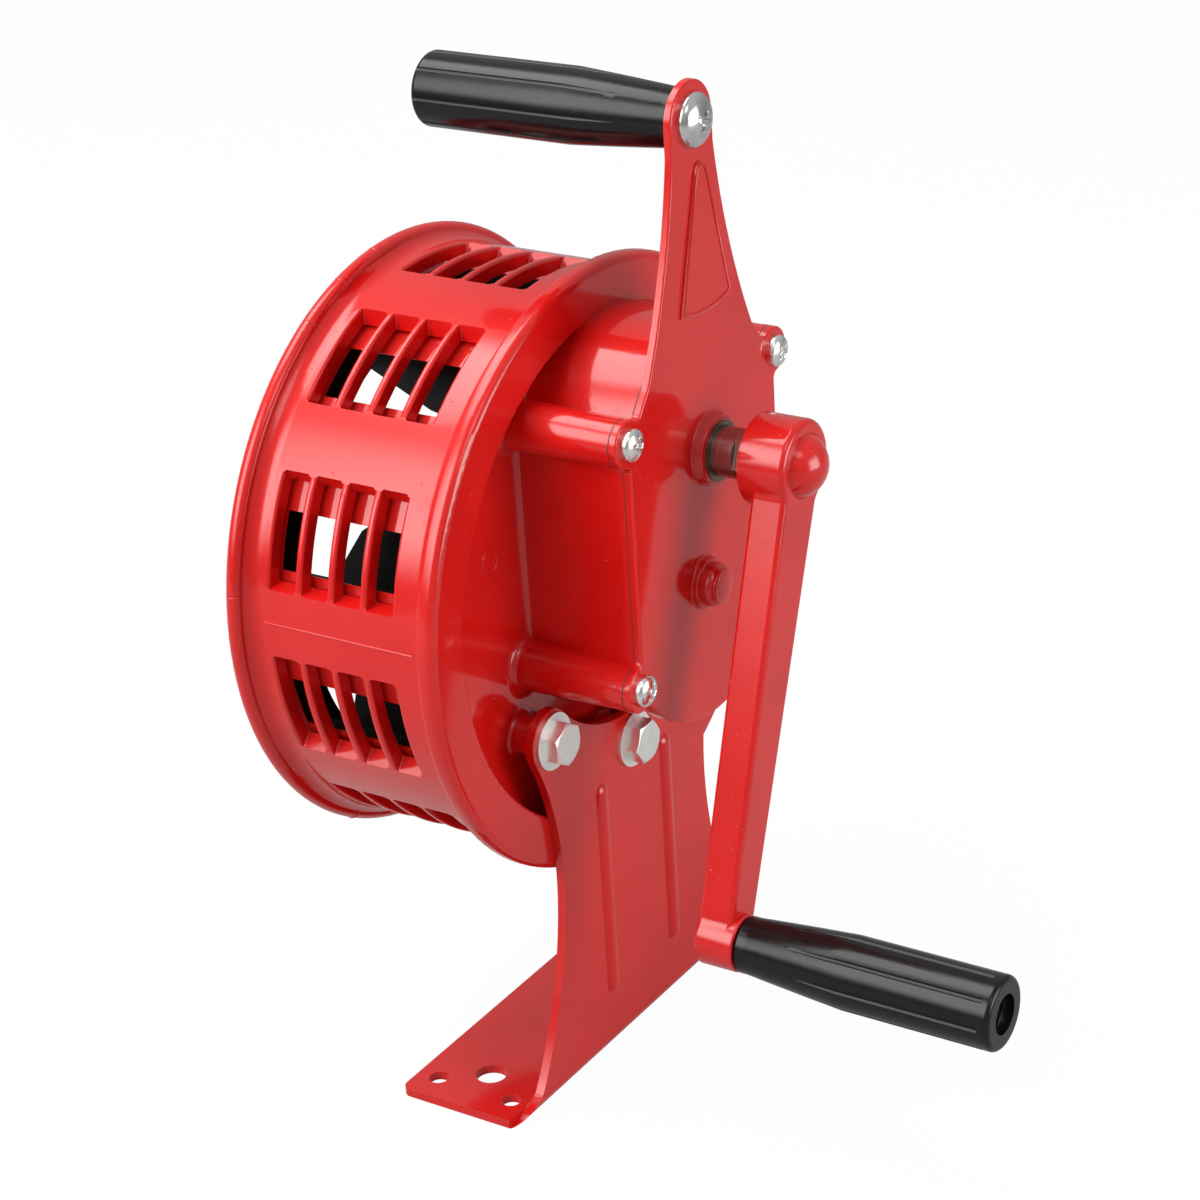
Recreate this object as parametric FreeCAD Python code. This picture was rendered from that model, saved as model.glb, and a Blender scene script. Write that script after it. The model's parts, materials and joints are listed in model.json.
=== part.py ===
import FreeCAD, Part
import math
import os

# Hand crank siren. Millimetres, +Z up, the crank on the -Y side, the open rear on +Y.
# The origin is the centre of the foot's underside. The rotor turns about a line along Y.

# ---- shaft lines, in X and Z --------------------------------------------------------
rotorX, rotorZ = 0.0, 168.2
crankX, crankZ = 7.0, 210.8
layX, layZ = 22.65, 176.1
boxX = 4.5                      # middle of the gearbox
handleZ = 316.5                 # carrying grip

# ---- planes along Y ------------------------------------------------------------------
ringFaceY = -20.3               # front ring of the drum
floorFaceY = -11.3              # recessed floor inside that ring
floorBackY = -7.3
rearY = 58.25                   # back of the rear rim
boxFrontY = -51.2               # open front of the gearbox
coverBackY = -51.6
coverFrontY = -54.1
bossBackY = -46.0               # inner ends of the cover's bosses
seatY = -17.3                   # front ends of the floor's bearing seats

# ---- drum ----------------------------------------------------------------------------
drumR = 94.5
drumInnerR = 89.5
rimR = 100.0
recessR = 83.5
windowCount = 10
windowPitch = 360.0 / windowCount
windowAngle = 158.5             # middle of one window, from +X towards +Z
windowFrontY = -1.6
slotWidth = 9.6
barWidth = 2.6
slotsPerWindow = 4
slotCornerR = 0.8

# ---- gearbox and cover ---------------------------------------------------------------
boxHalfWidth = 43.3
archR, archZ = 44.0, 211.2
sumpR, sumpZ = 50.0, 171.6
wallInset = 1.5
wall = 3.0
screwX = (boxX - 43.6, boxX + 43.6)
screwZ = (147.9, 229.2)
screwHoleR = 2.5
earR = 7.6
coverEdgeR = 0.7
bracketFootHalf = 31.3
crankBushR, crankInnerBushR, layBushR, rotorBushR = 9.6, 9.0, 6.0, 4.6
crankBushFrontY, layBushFrontY, rotorBushFrontY = -58.3, -52.6, -59.6

# ---- stand ---------------------------------------------------------------------------
sheet = 3.0
standBackY = ringFaceY
standFrontY = ringFaceY - sheet
footHalfWidth = 78.8
footRearY = 23.3
bendR = 4.0
standBolts = ((-46.0, 126.7), (46.0, 126.7), (0.0, 106.2))
standTopR = 52.0
smallHoleX, smallHoleY, smallHoleR = 68.6, (-13.4, 15.4), 3.3
largeHoleX, largeHoleY, largeHoleR = 58.9, 1.0, 5.2
ribX, ribLowZ, ribHighZ = 19.5, 23.0, 95.0
ribR, ribSink = 4.83, 3.33                 # outside of a pressed rib, and how deep its axis lies

# ---- rotor ---------------------------------------------------------------------------
rotorR = 88.5
rotorWall = 4.0
rotorFrontY, rotorRearY = -4.3, 47.2
rotorDisc = 3.0
eyeR = 75.3
vaneCount = 10
vaneOffset = 33.8               # the vanes are straight, and lean past the axis by this much
vaneAngle = 176.0               # direction of one vane, from its inner end to its outer end
vaneInnerU = 12.0               # where a vane starts, along that direction
vaneThick, vaneDraft = 5.0, 1.0            # at the rear edge, and what the disc adds on each side
portAngle, portHalf = 160.5, 6.0           # each port opens beside the outer end of a vane
spigotR, spigotFrontY = 8.0, -9.0          # front end of the hub, against the bearing
rotorHubR, hubRearY = 17.0, 14.0

# ---- gears ---------------------------------------------------------------------------
module = 1.0
pressure = math.radians(20.0)
crankTeeth, layPinionTeeth, layTeeth, rotorTeeth = 64, 12, 38, 10
firstShift, secondShift = 0.35, 0.42       # added to the pinions, taken off the wheels
backlash = 0.18
crankGearY = (-43.0, -33.0)
layGearY = (-27.5, -20.3)

# ---- shafts, keys and bushes ---------------------------------------------------------
running = 0.04                             # radial clearance of a shaft in its bush
journalR = 5.0 - running                   # rotor shaft in its bearing and hub
rotorNoseR, layNoseR, crankNoseR = 3.5, 4.0, 6.0
layShaftR, crankGearSeatR = 5.0, 7.5
seatFloorY = -9.0                          # bottoms of the bores in the floor's seats
bearingBackY, bearingR = -9.3, 13.0
rotorKey = (journalR, 0.0, 12.0, 3.0)      # shaft radius, planes along Y, width
layKey = (layShaftR, -28.0, -21.0, 3.0)
crankKey = (crankGearSeatR, -43.5, -34.5, 4.0)

# ---- fasteners -----------------------------------------------------------------------
boltR, boltFlats, boltHead = 4.0, 13.0, 5.3
washerR, washerBoreR, washerThick = 9.4, 4.2, 1.6
screwHeadR, screwHeadHigh = 5.1, 3.6
domeR, domeHigh = 8.5, 4.9
handleBoltEndY = 5.0

# ---- crank ---------------------------------------------------------------------------
crankLength = 150.0
gripX = -43.1
armBackY, armFrontY = -75.8, -87.8
hubBackY, hubFrontY = -71.8, -87.6
hubR, armEndR = 14.5, 9.3
armTilt = math.degrees(math.asin((crankX - gripX) / crankLength))
shaftR = 8.0
flatHalf = 6.5                             # half of 13 across the milled flats
flatStartY = -65.8
shaftEndY = -83.0
capCentreY, capR, capThick = -83.3, 11.1, 1.2
capPlugR, capLipY = 10.3, -84.2
spindleR = 4.0
gripWasherThick, endPlay = 1.2, 0.3
gripFrontY, gripEndY = -90.1, -178.3
gripLength = 88.2
topGripLength = 91.5
gripNarrowR, gripWideR = 9.1, 11.9
gripHoleR, gripHoleDepth = 6.4, 10.0
endRound = 1.8
grooveCount, grooveR, grooveDepth, grooveSlope = 8, 0.9, 0.55, 0.048


def vec(x, y, z):
    return FreeCAD.Vector(x, y, z)


def rod(x, z, y0, y1, r):
    """A cylinder along Y."""
    return Part.makeCylinder(r, y1 - y0, vec(x, y0, z), vec(0, 1, 0))


def taper(x, z, y0, y1, r0, r1):
    """A cone along Y."""
    return Part.makeCone(r0, r1, y1 - y0, vec(x, y0, z), vec(0, 1, 0))


def polar(x, z, r, degrees):
    a = math.radians(degrees)
    return (x + r * math.cos(a), z + r * math.sin(a))


def outline(place, start, *steps):
    """A closed wire: each step is an end point, or the middle and end of an arc."""
    edges = []
    here = start
    for step in steps:
        if isinstance(step[0], tuple):
            middle, end = step
            edges.append(Part.Arc(place(*here), place(*middle), place(*end)).toShape())
        else:
            end = step
            edges.append(Part.makeLine(place(*here), place(*end)))
        here = end
    if place(*here).distanceToPoint(place(*start)) > 1e-6:
        edges.append(Part.makeLine(place(*here), place(*start)))
    return Part.Wire(edges)


def plate(y0, y1, start, *steps):
    """An outline drawn in X and Z, standing from y0 to y1."""
    wire = outline(lambda x, z: vec(x, y0, z), start, *steps)
    return Part.Face(wire).extrude(vec(0, y1 - y0, 0))


def turned(x, z, start, *steps):
    """An outline in radius and Y, turned about the line along Y through x, z."""
    wire = outline(lambda r, y: vec(r, y, 0), start, *steps)
    solid = Part.Face(wire).revolve(vec(0, 0, 0), vec(0, 1, 0), 360)
    solid.translate(vec(x, 0, z))
    return solid


def turn(shape, x, z, degrees):
    """Turn a shape about the line along Y, from +X towards +Z."""
    return shape.rotated(vec(x, 0, z), vec(0, -1, 0), degrees)


def around(shape, count, x=rotorX, z=rotorZ):
    return [turn(shape, x, z, 360.0 * i / count) for i in range(count)]


def fused(first, *others):
    for other in others:
        first = first.fuse(other)
    return first.removeSplitter()


def cut(shape, *tools):
    return shape.cut(list(tools))


def rounded(shape, r, choose):
    """Round the edges that choose picks."""
    edges = [e for e in shape.Edges if choose(e)]
    return shape.makeFillet(r, edges)


def hexagon(x, z, y0, y1, acrossFlats):
    corner = acrossFlats / math.sqrt(3)
    points = [polar(x, z, corner, 60 * i + 30) for i in range(6)]
    return plate(y0, y1, *points)


# ---- gears ---------------------------------------------------------------------------
def involuteHalfAngle(teeth, shift, r):
    """Half the angle that a tooth fills at radius r."""
    pitchR = module * teeth / 2
    baseR = pitchR * math.cos(pressure)
    atPitch = (math.pi / 2 + 2 * shift * math.tan(pressure)) / teeth - backlash / 4 / pitchR
    here = math.acos(min(1.0, baseR / r))
    return atPitch + math.tan(pressure) - pressure - (math.tan(here) - here)


def gear(x, z, teeth, shift, y0, y1, toothAngle):
    """Spur gear with involute flanks, and one tooth pointing at toothAngle."""
    pitchR = module * teeth / 2
    baseR = pitchR * math.cos(pressure)
    tipR = pitchR + module * (0.9 + shift)
    rootR = pitchR - module * (1.25 - shift)
    startR = max(baseR, rootR)
    middleR = (startR + tipR) / 2

    def at(r, side, tooth):
        half = math.degrees(involuteHalfAngle(teeth, shift, r))
        return polar(x, z, r, toothAngle + 360.0 * tooth / teeth + side * half)

    def foot(side, tooth):
        half = math.degrees(involuteHalfAngle(teeth, shift, startR))
        return polar(x, z, rootR, toothAngle + 360.0 * tooth / teeth + side * half)

    steps = []
    for tooth in range(teeth):
        angle = toothAngle + 360.0 * tooth / teeth
        if startR > rootR:
            steps.append(at(startR, -1, tooth))
        steps.append((at(middleR, -1, tooth), at(tipR, -1, tooth)))
        steps.append((polar(x, z, tipR, angle), at(tipR, 1, tooth)))
        steps.append((at(middleR, 1, tooth), at(startR, 1, tooth)))
        if startR > rootR:
            steps.append(foot(1, tooth))
        steps.append((polar(x, z, rootR, angle + 180.0 / teeth), foot(-1, tooth + 1)))
    return plate(y0, y1, foot(-1, 0), *steps)


def lineAngle(x0, z0, x1, z1):
    return math.degrees(math.atan2(z1 - z0, x1 - x0))


rotorToLay = lineAngle(rotorX, rotorZ, layX, layZ)
layToCrank = lineAngle(layX, layZ, crankX, crankZ)


# ---- housing -------------------------------------------------------------------------
def gearboxFace(inset, y0, y1):
    """The gearbox's outline: straight sides under a round arch, over a round sump."""
    half = boxHalfWidth - inset
    top = archZ + math.sqrt((archR - inset) ** 2 - half ** 2)
    low = sumpZ - math.sqrt((sumpR - inset) ** 2 - half ** 2)
    return plate(y0, y1, (boxX - half, low),
                 (boxX - half, top), ((boxX, archZ + archR - inset), (boxX + half, top)),
                 (boxX + half, low), ((boxX, sumpZ - sumpR + inset), (boxX - half, low)))


def screwPlaces():
    return [(x, z) for x in screwX for z in screwZ]


def ears(y0, y1):
    return [rod(x, z, y0, y1, earR) for x, z in screwPlaces()]


def drumBody():
    """Drum wall, front ring, recessed floor and rolled rear rim, as one turned form."""
    return turned(rotorX, rotorZ, (0, floorBackY),
                  (0, floorFaceY), (recessR, floorFaceY), (recessR, ringFaceY + 1),
                  ((recessR + 0.29, ringFaceY + 0.29), (recessR + 1, ringFaceY)),
                  (rimR - 3, ringFaceY), ((rimR - 0.88, ringFaceY + 0.88), (rimR, ringFaceY + 3)),
                  (rimR, -15.5), ((rimR - 0.44, -14.44), (rimR - 1.5, -14.0)),
                  ((drumR + 1.17, -12.83), (drumR, -10.0)),
                  (drumR, 47.2), ((95.23, 50.3), (97.25, 52.75)),
                  ((rimR, 55.5), (97.25, rearY)), (91.5, rearY),
                  ((90.09, 57.66), (drumInnerR, rearY - 2)), (drumInnerR, floorBackY))


def windowSlots():
    """The slots of one window, cut towards the axis with ends that slope inwards."""
    slots = []
    for i in range(slotsPerWindow):
        y0 = windowFrontY + i * (slotWidth + barWidth)
        inner, outer = rotorX + 84.0, rotorX + 97.0
        slot = plate(y0, y0 + slotWidth,
                     (inner, rotorZ - 13.2), (outer, rotorZ - 21.3),
                     (outer, rotorZ + 21.3), (inner, rotorZ + 13.2))
        slopes = [e for e in slot.Edges if 14.0 < e.Length < 17.0]
        slot = slot.makeFillet(slotCornerR, slopes)
        slots.append(turn(slot, rotorX, rotorZ, windowAngle))
    return slots


def housing():
    body = drumBody()
    shell = gearboxFace(wallInset, boxFrontY, floorFaceY + 1)
    flange = fused(gearboxFace(0, boxFrontY, boxFrontY + 2.2), *ears(boxFrontY, boxFrontY + 2.2))
    cavity = gearboxFace(wallInset + wall, boxFrontY - 1, floorFaceY)
    walls = cut(fused(shell, flange), cavity)
    screwBosses = [taper(x, z, boxFrontY, floorFaceY + 1, 7.4, 8.4) for x, z in screwPlaces()]
    standBosses = [rod(x, z, ringFaceY, floorFaceY + 1, 6.2) for x, z in standBolts]
    seats = [rod(rotorX, rotorZ, seatY, floorFaceY + 1, 16.5),
             rod(crankX, crankZ, seatY, floorFaceY + 1, 11.5),
             rod(layX, layZ, seatY, floorFaceY + 1, 9.0)]
    body = fused(body, walls, *screwBosses, *standBosses, *seats)
    slots = windowSlots()
    openings = [turn(slot, rotorX, rotorZ, windowPitch * k)
                for k in range(windowCount) for slot in slots]
    bores = [rod(x, z, boxFrontY - 1, boxFrontY + 18, screwHoleR) for x, z in screwPlaces()]
    bores += [rod(x, z, ringFaceY - 1, floorBackY + 1, boltR) for x, z in standBolts]
    bores += [rod(rotorX, rotorZ, seatY - 1, bearingBackY, bearingR),
              rod(rotorX, rotorZ, seatY, floorBackY + 1, spigotR + 1.5),
              rod(crankX, crankZ, seatY - 1, seatFloorY, crankInnerBushR),
              rod(layX, layZ, seatY - 1, seatFloorY, layBushR)]
    return cut(body, *openings, *bores)


def gasket():
    sheetBody = fused(gearboxFace(0, coverBackY, boxFrontY), *ears(coverBackY, boxFrontY))
    inside = gearboxFace(wallInset + wall, coverBackY - 1, boxFrontY + 1)
    land = [rod(x, z, coverBackY, boxFrontY, earR - 0.3) for x, z in screwPlaces()]
    holes = [rod(x, z, coverBackY - 1, boxFrontY + 1, screwHoleR) for x, z in screwPlaces()]
    return cut(fused(cut(sheetBody, inside), *land), *holes)


def coverSheet():
    """Flat of the cover and bracket, with blended ears and a rounded front edge."""
    left, right = boxX - bracketFootHalf, boxX + bracketFootHalf
    footZ = archZ + math.sqrt(archR ** 2 - bracketFootHalf ** 2)
    bracket = plate(coverFrontY, coverBackY, (left, footZ - 1.5), (left, footZ),
                    ((boxX - 19.4, 273.2), (boxX - 12.0, 307.2)), (boxX - 12.0, handleZ),
                    ((boxX, handleZ + 12.0), (boxX + 12.0, handleZ)), (boxX + 12.0, 307.2),
                    ((boxX + 19.4, 273.2), (right, footZ)), (right, footZ - 1.5))
    flat = fused(gearboxFace(0, coverFrontY, coverBackY), bracket, *ears(coverFrontY, coverBackY))

    def upright(edge):
        box = edge.BoundBox
        return box.XLength < 0.01 and box.ZLength < 0.01

    def atFoot(edge):
        return upright(edge) and abs(edge.BoundBox.ZMin - footZ) < 0.05

    def atEar(edge):
        box = edge.BoundBox
        reach = [math.hypot(box.XMin - x, box.ZMin - z) for x, z in screwPlaces()]
        return upright(edge) and abs(min(reach) - earR) < 0.01

    flat = rounded(flat, 12.0, atFoot)
    flat = rounded(flat, 2.2, atEar)
    return rounded(flat, coverEdgeR, lambda e: e.BoundBox.YMax < coverFrontY + 0.01)


def cover():
    """Gearbox cover that runs up into the bracket of the carrying grip."""
    front = coverFrontY
    panel = plate(front - 0.8, front + 0.5, (-7.5, 257.8),
                  (3.6, 299.5), ((7.3, 303.2), (11.0, 299.5)), (22.4, 257.8),
                  ((7.4, 255.6), (-7.5, 257.8)))
    panel = rounded(panel, 0.7, lambda e: e.BoundBox.YMax < front - 0.79)
    crankBoss = turned(crankX, crankZ, (0, front + 1), (13.0, front + 1), (13.0, front),
                       ((12.1, front - 0.3), (11.8, front - 1.1)), (11.2, front - 2.6),
                       ((10.8, front - 3.4), (10.0, front - 3.7)), (0, front - 3.7))
    rotorBoss = turned(rotorX, rotorZ, (0, front + 1), (9.4, front + 1), (9.4, front),
                       ((8.8, front - 0.2), (8.6, front - 0.8)), (8.5, front - 1.6),
                       ((8.3, front - 2.2), (7.6, front - 2.4)), (6.3, front - 2.4), (5.9, front - 2.8),
                       (5.9, front - 6.4), ((5.6, front - 7.1), (5.0, front - 7.3)), (0, front - 7.3))
    body = fused(coverSheet(), panel, crankBoss, rotorBoss,
                 rod(crankX, crankZ, coverBackY, bossBackY, 12.0),
                 rod(layX, layZ, coverBackY, bossBackY, 8.0),
                 rod(rotorX, rotorZ, coverBackY, bossBackY, 7.5))
    holes = [rod(x, z, front - 1, coverBackY + 1, screwHoleR) for x, z in screwPlaces()]
    holes += [rod(boxX, handleZ, front - 1, coverBackY + 1, spindleR),
              rod(crankX, crankZ, front - 5, bossBackY + 1, crankBushR),
              rod(layX, layZ, layBushFrontY - 0.2, bossBackY + 1, layBushR),
              rod(rotorX, rotorZ, rotorBushFrontY, bossBackY + 1, rotorBushR)]
    return cut(body, *holes)


# ---- stand ---------------------------------------------------------------------------
def standFront():
    """Front outline of the sheet: two ears, a hollow top edge and flared sides."""
    earX, earZ = standBolts[1]
    low = (earX + 8.8, earZ - 5.1)
    high = (39.92, 134.9)

    def left(point):
        return (-point[0], point[1])

    ear = (earX + 3.0, earZ + 9.75)
    waist, mid, knee = (43.9, 73.0), (46.6, 99.0), (64.0, 5.8)
    calf, ankle = (50.4, 35.4), (70.8, 2.2)
    corner = (footHalfWidth, 0.0)
    return plate(standFrontY - 1, standFrontY + bendR, left(corner), corner,
                 (ankle, knee), (calf, waist), (mid, low), (ear, high),
                 ((0.0, rotorZ - standTopR), left(high)), (left(ear), left(low)),
                 (left(mid), left(waist)), (left(calf), left(knee)), (left(ankle), left(corner)))


def ribCapsule(x, r):
    """A pressed rib is the part of a round-ended bar that stands out of the sheet."""
    y = standFrontY + ribSink
    bar = Part.makeCylinder(r, ribHighZ - ribLowZ, vec(x, y, ribLowZ), vec(0, 0, 1))
    return fused(bar, Part.makeSphere(r, vec(x, y, ribLowZ)), Part.makeSphere(r, vec(x, y, ribHighZ)))


def stand():
    arc = bendR * math.sqrt(0.5)
    inner = bendR - sheet
    innerArc = inner * math.sqrt(0.5)
    bendY = standFrontY + bendR
    profile = outline(lambda y, z: vec(-footHalfWidth, y, z), (standFrontY, 140.0),
                      (standFrontY, bendR), ((bendY - arc, bendR - arc), (bendY, 0.0)),
                      (footRearY, 0.0), (footRearY, sheet), (bendY, sheet),
                      ((bendY - innerArc, bendR - innerArc), (standBackY, bendR)),
                      (standBackY, 140.0))
    sheetBody = Part.Face(profile).extrude(vec(2 * footHalfWidth, 0, 0))
    foot = Part.makeBox(2 * footHalfWidth, footRearY - bendY, sheet, vec(-footHalfWidth, bendY, 0))
    foot = rounded(foot, 3.0, lambda e: e.BoundBox.YMin > footRearY - 0.1 and e.BoundBox.ZLength > 1)
    ribs = [ribCapsule(x, ribR) for x in (-ribX, ribX)]
    behind = Part.makeBox(60, 6, 90, vec(-30, standBackY, 15))
    body = cut(fused(sheetBody.common(standFront()), foot, *ribs), behind)
    holes = [rod(x, z, standFrontY - 1, standBackY + 1, boltR + 0.3) for x, z in standBolts]
    holes += [ribCapsule(x, ribR - sheet) for x in (-ribX, ribX)]
    for side in (-1, 1):
        for y in smallHoleY:
            holes.append(Part.makeCylinder(smallHoleR, sheet + 2, vec(side * smallHoleX, y, -1)))
        holes.append(Part.makeCylinder(largeHoleR, sheet + 2, vec(side * largeHoleX, largeHoleY, -1)))
    return cut(body, *holes)


# ---- fasteners -----------------------------------------------------------------------
def panScrew(x, z):
    """Cross-recessed pan head screw."""
    y = coverFrontY
    head = turned(x, z, (0, y), (screwHeadR, y), (screwHeadR, y - 1.4),
                  ((4.0, y - 2.9), (0, y - screwHeadHigh)))
    shank = rod(x, z, y, boxFrontY + 16, screwHoleR)
    slot = Part.makeBox(1.3, 2.4, 5.6, vec(x - 0.65, y - 3.8, z - 2.8))
    cross = [turn(slot, x, z, 30), turn(slot, x, z, 120)]
    return cut(fused(head, shank), *cross)


def hexBolt(x, z, spin):
    """M8 hex head bolt: the head's front corners are chamfered by a cone."""
    y = standFrontY - washerThick
    front = y - boltHead
    head = hexagon(x, z, front, y, boltFlats)
    cone = turned(x, z, (0, y), (8.2, y), (8.2, front + 1.0), (6.0, front), (0, front))
    head = turn(head.common(cone), x, z, spin)
    return fused(head, rod(x, z, y, floorBackY, boltR))


def washer(x, z, y0, y1, r, boreR):
    return cut(rod(x, z, y0, y1, r), rod(x, z, y0 - 1, y1 + 1, boreR))


def nut(x, z, y0, y1, acrossFlats, boreR):
    body = hexagon(x, z, y0, y1, acrossFlats)
    r = acrossFlats / math.sqrt(3)
    cone = turned(x, z, (0, y0), (r, y0), (r, y1 - 0.8), (acrossFlats / 2, y1), (0, y1))
    return cut(body.common(cone), rod(x, z, y0 - 1, y1 + 1, boreR))


def handleBolt():
    """Domed bolt that holds the carrying grip, with a cross recess."""
    y = coverFrontY
    dome = turned(boxX, handleZ, (0, y), (domeR, y), (domeR, y - 0.9),
                  ((6.0, y - 3.8), (0, y - domeHigh)))
    slot = Part.makeBox(1.8, 2.8, 6.6, vec(boxX - 0.9, y - 5.2, handleZ - 3.3))
    cross = [turn(slot, boxX, handleZ, 25), turn(slot, boxX, handleZ, 115)]
    return cut(fused(dome, rod(boxX, handleZ, y, handleBoltEndY, spindleR)), *cross)


# ---- rotor and its shaft -------------------------------------------------------------
def vane():
    """Straight vane along +X from its inner end, thinner towards its rear edge."""
    low, rear = rotorFrontY + rotorDisc - 1.0, rotorRearY - 1.0
    outer = math.sqrt((rotorR - rotorWall / 2) ** 2 - vaneOffset ** 2)
    lowHalf = vaneThick / 2 + vaneDraft
    section = outline(lambda z, y: vec(vaneInnerU, y, rotorZ - vaneOffset + z), (-lowHalf, low),
                      (-vaneThick / 2, rear), (vaneThick / 2, rear), (lowHalf, low))
    bar = Part.Face(section).extrude(vec(outer - vaneInnerU, 0, 0))
    side = outline(lambda x, y: vec(x, y, rotorZ - vaneOffset - lowHalf), (vaneInnerU, low),
                   (vaneInnerU + 1.0, 22.0), ((vaneInnerU + 4.9, 34.0), (vaneInnerU + 16.0, rear)),
                   (outer, rear), (outer, low))
    return bar.common(Part.Face(side).extrude(vec(0, 0, 2 * lowHalf)))


def rotor():
    """Ported wall, disc, rear shroud, hub and leaning vanes, in one casting."""
    innerR = rotorR - rotorWall
    discY = rotorFrontY + rotorDisc
    shroudY = rotorRearY - rotorDisc
    body = turned(rotorX, rotorZ, (0, spigotFrontY), (spigotR, spigotFrontY), (spigotR, rotorFrontY),
                  (rotorR, rotorFrontY), (rotorR, rotorRearY), (eyeR, rotorRearY),
                  (eyeR, shroudY), (innerR, shroudY), (innerR, discY), (rotorHubR + 4, discY),
                  ((rotorHubR + 1.2, discY + 1.2), (rotorHubR, discY + 4)),
                  (rotorHubR - 1, hubRearY), (0, hubRearY))
    vanes = around(turn(vane(), rotorX, rotorZ, vaneAngle), vaneCount)
    halfPort = rotorR * math.sin(math.radians(portHalf))
    port = Part.makeBox(12.0, shroudY - discY, 2 * halfPort,
                        vec(rotorR - 8.0, discY, rotorZ - halfPort))
    ports = around(turn(port, rotorX, rotorZ, portAngle), vaneCount)
    bore = rod(rotorX, rotorZ, spigotFrontY - 1, hubRearY + 1, journalR)
    keyway = key(rotorX, rotorZ, *rotorKey)
    return cut(fused(body, *vanes), bore, keyway, *ports)


def key(x, z, r, y0, y1, width):
    """Square key, half in the shaft and half in the hub, on the +Z side."""
    return Part.makeBox(width, y1 - y0, width, vec(x - width / 2, y0, z + r - width / 2))


def shaft(x, z, y0, *steps):
    """A stepped shaft along Y: each step is the plane where it ends and its radius."""
    points = [(0, y0)]
    here = y0
    for y1, r in steps:
        points += [(r, here), (r, y1)]
        here = y1
    return turned(x, z, *points, (0, here))


def rotorShaft():
    body = shaft(rotorX, rotorZ, -59.2, (-45.7, rotorNoseR), (-19.3, 4.1), (-17.6, 6.5),
                 (hubRearY, journalR), (25.5, boltR))
    pinion = gear(rotorX, rotorZ, rotorTeeth, secondShift, -28.5, -19.3, rotorToLay)
    return cut(fused(body, pinion), key(rotorX, rotorZ, *rotorKey))


def bearing():
    """Sealed ball bearing: two rings with the shields set back between them."""
    front, back = seatY, bearingBackY
    bore = journalR + running
    return turned(rotorX, rotorZ, (bore, front), (7.0, front), (7.2, front + 0.5),
                  (11.2, front + 0.5), (11.4, front), (bearingR, front), (bearingR, back), (11.4, back),
                  (11.2, back - 0.5), (7.2, back - 0.5), (7.0, back), (bore, back))


# ---- layshaft and crank shaft --------------------------------------------------------
def layshaft():
    body = shaft(layX, layZ, -52.5, (bossBackY, layNoseR), (-31.5, layShaftR), (-29.0, 7.0),
                 (-17.6, layShaftR), (-9.3, layNoseR))
    pinion = gear(layX, layZ, layPinionTeeth, firstShift, -44.5, -31.5, layToCrank)
    return cut(fused(body, pinion), key(layX, layZ, *layKey))


def webbed(x, z, wheel, y0, y1, hubOuter, rimInner, depth):
    """Turn a groove between hub and rim into both faces of a wheel."""
    grooves = [washer(x, z, y0 - 1, y0 + depth, rimInner, hubOuter),
               washer(x, z, y1 - depth, y1 + 1, rimInner, hubOuter)]
    return cut(wheel, *grooves)


def layGear():
    angle = rotorToLay + 180.0 + 180.0 / layTeeth
    y0, y1 = layGearY
    wheel = gear(layX, layZ, layTeeth, -secondShift, y0, y1, angle)
    hub = 9.5
    wheel = webbed(layX, layZ, wheel, y0, y1, hubOuter=hub, rimInner=15.5, depth=1.6)
    wheel = fused(wheel, rod(layX, layZ, -29.0, y1, hub))
    return cut(wheel, rod(layX, layZ, -30.0, y1 + 1, layShaftR), key(layX, layZ, *layKey))


def crankGear():
    angle = layToCrank + 180.0 + 180.0 / crankTeeth
    y0, y1 = crankGearY
    wheel = gear(crankX, crankZ, crankTeeth, -firstShift, y0, y1, angle)
    hub, rim = 13.0, 27.5
    wheel = webbed(crankX, crankZ, wheel, y0, y1, hubOuter=hub, rimInner=rim, depth=3.0)
    wheel = fused(wheel, rod(crankX, crankZ, -45.7, y1, hub))
    hole = rod(crankX + (hub + rim) / 2, crankZ, y0, y1, 5.0)
    holes = around(hole, 6, crankX, crankZ)
    return cut(wheel, rod(crankX, crankZ, bossBackY, y1 + 1, crankGearSeatR),
               key(crankX, crankZ, *crankKey), *holes)


def flatBar(y0, y1):
    """A shaft with two milled flats, in line with the hanging arm."""
    return rod(crankX, crankZ, y0, y1, shaftR).common(
        Part.makeBox(2 * flatHalf, y1 - y0, 2 * shaftR, vec(crankX - flatHalf, y0, crankZ - shaftR)))


def crankShaft():
    body = shaft(crankX, crankZ, flatStartY, (-45.7, shaftR), (-33.0, crankGearSeatR), (-31.9, 6.9),
                 (-17.6, crankGearSeatR), (-9.3, crankNoseR))
    drive = turn(flatBar(shaftEndY, flatStartY), crankX, crankZ, -armTilt)
    body = fused(body, drive, rod(crankX, crankZ, -89.0, shaftEndY, boltR))
    return cut(body, key(crankX, crankZ, *crankKey))


def circlip(x, z, y0, y1, r, grooveR):
    """A ring open on one side, seated in a groove of the shaft."""
    gap = Part.makeBox(2 * r, y1 - y0 + 2, 5.0, vec(x, y0 - 1, z - 2.5))
    return cut(washer(x, z, y0, y1, r, grooveR), gap)


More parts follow.
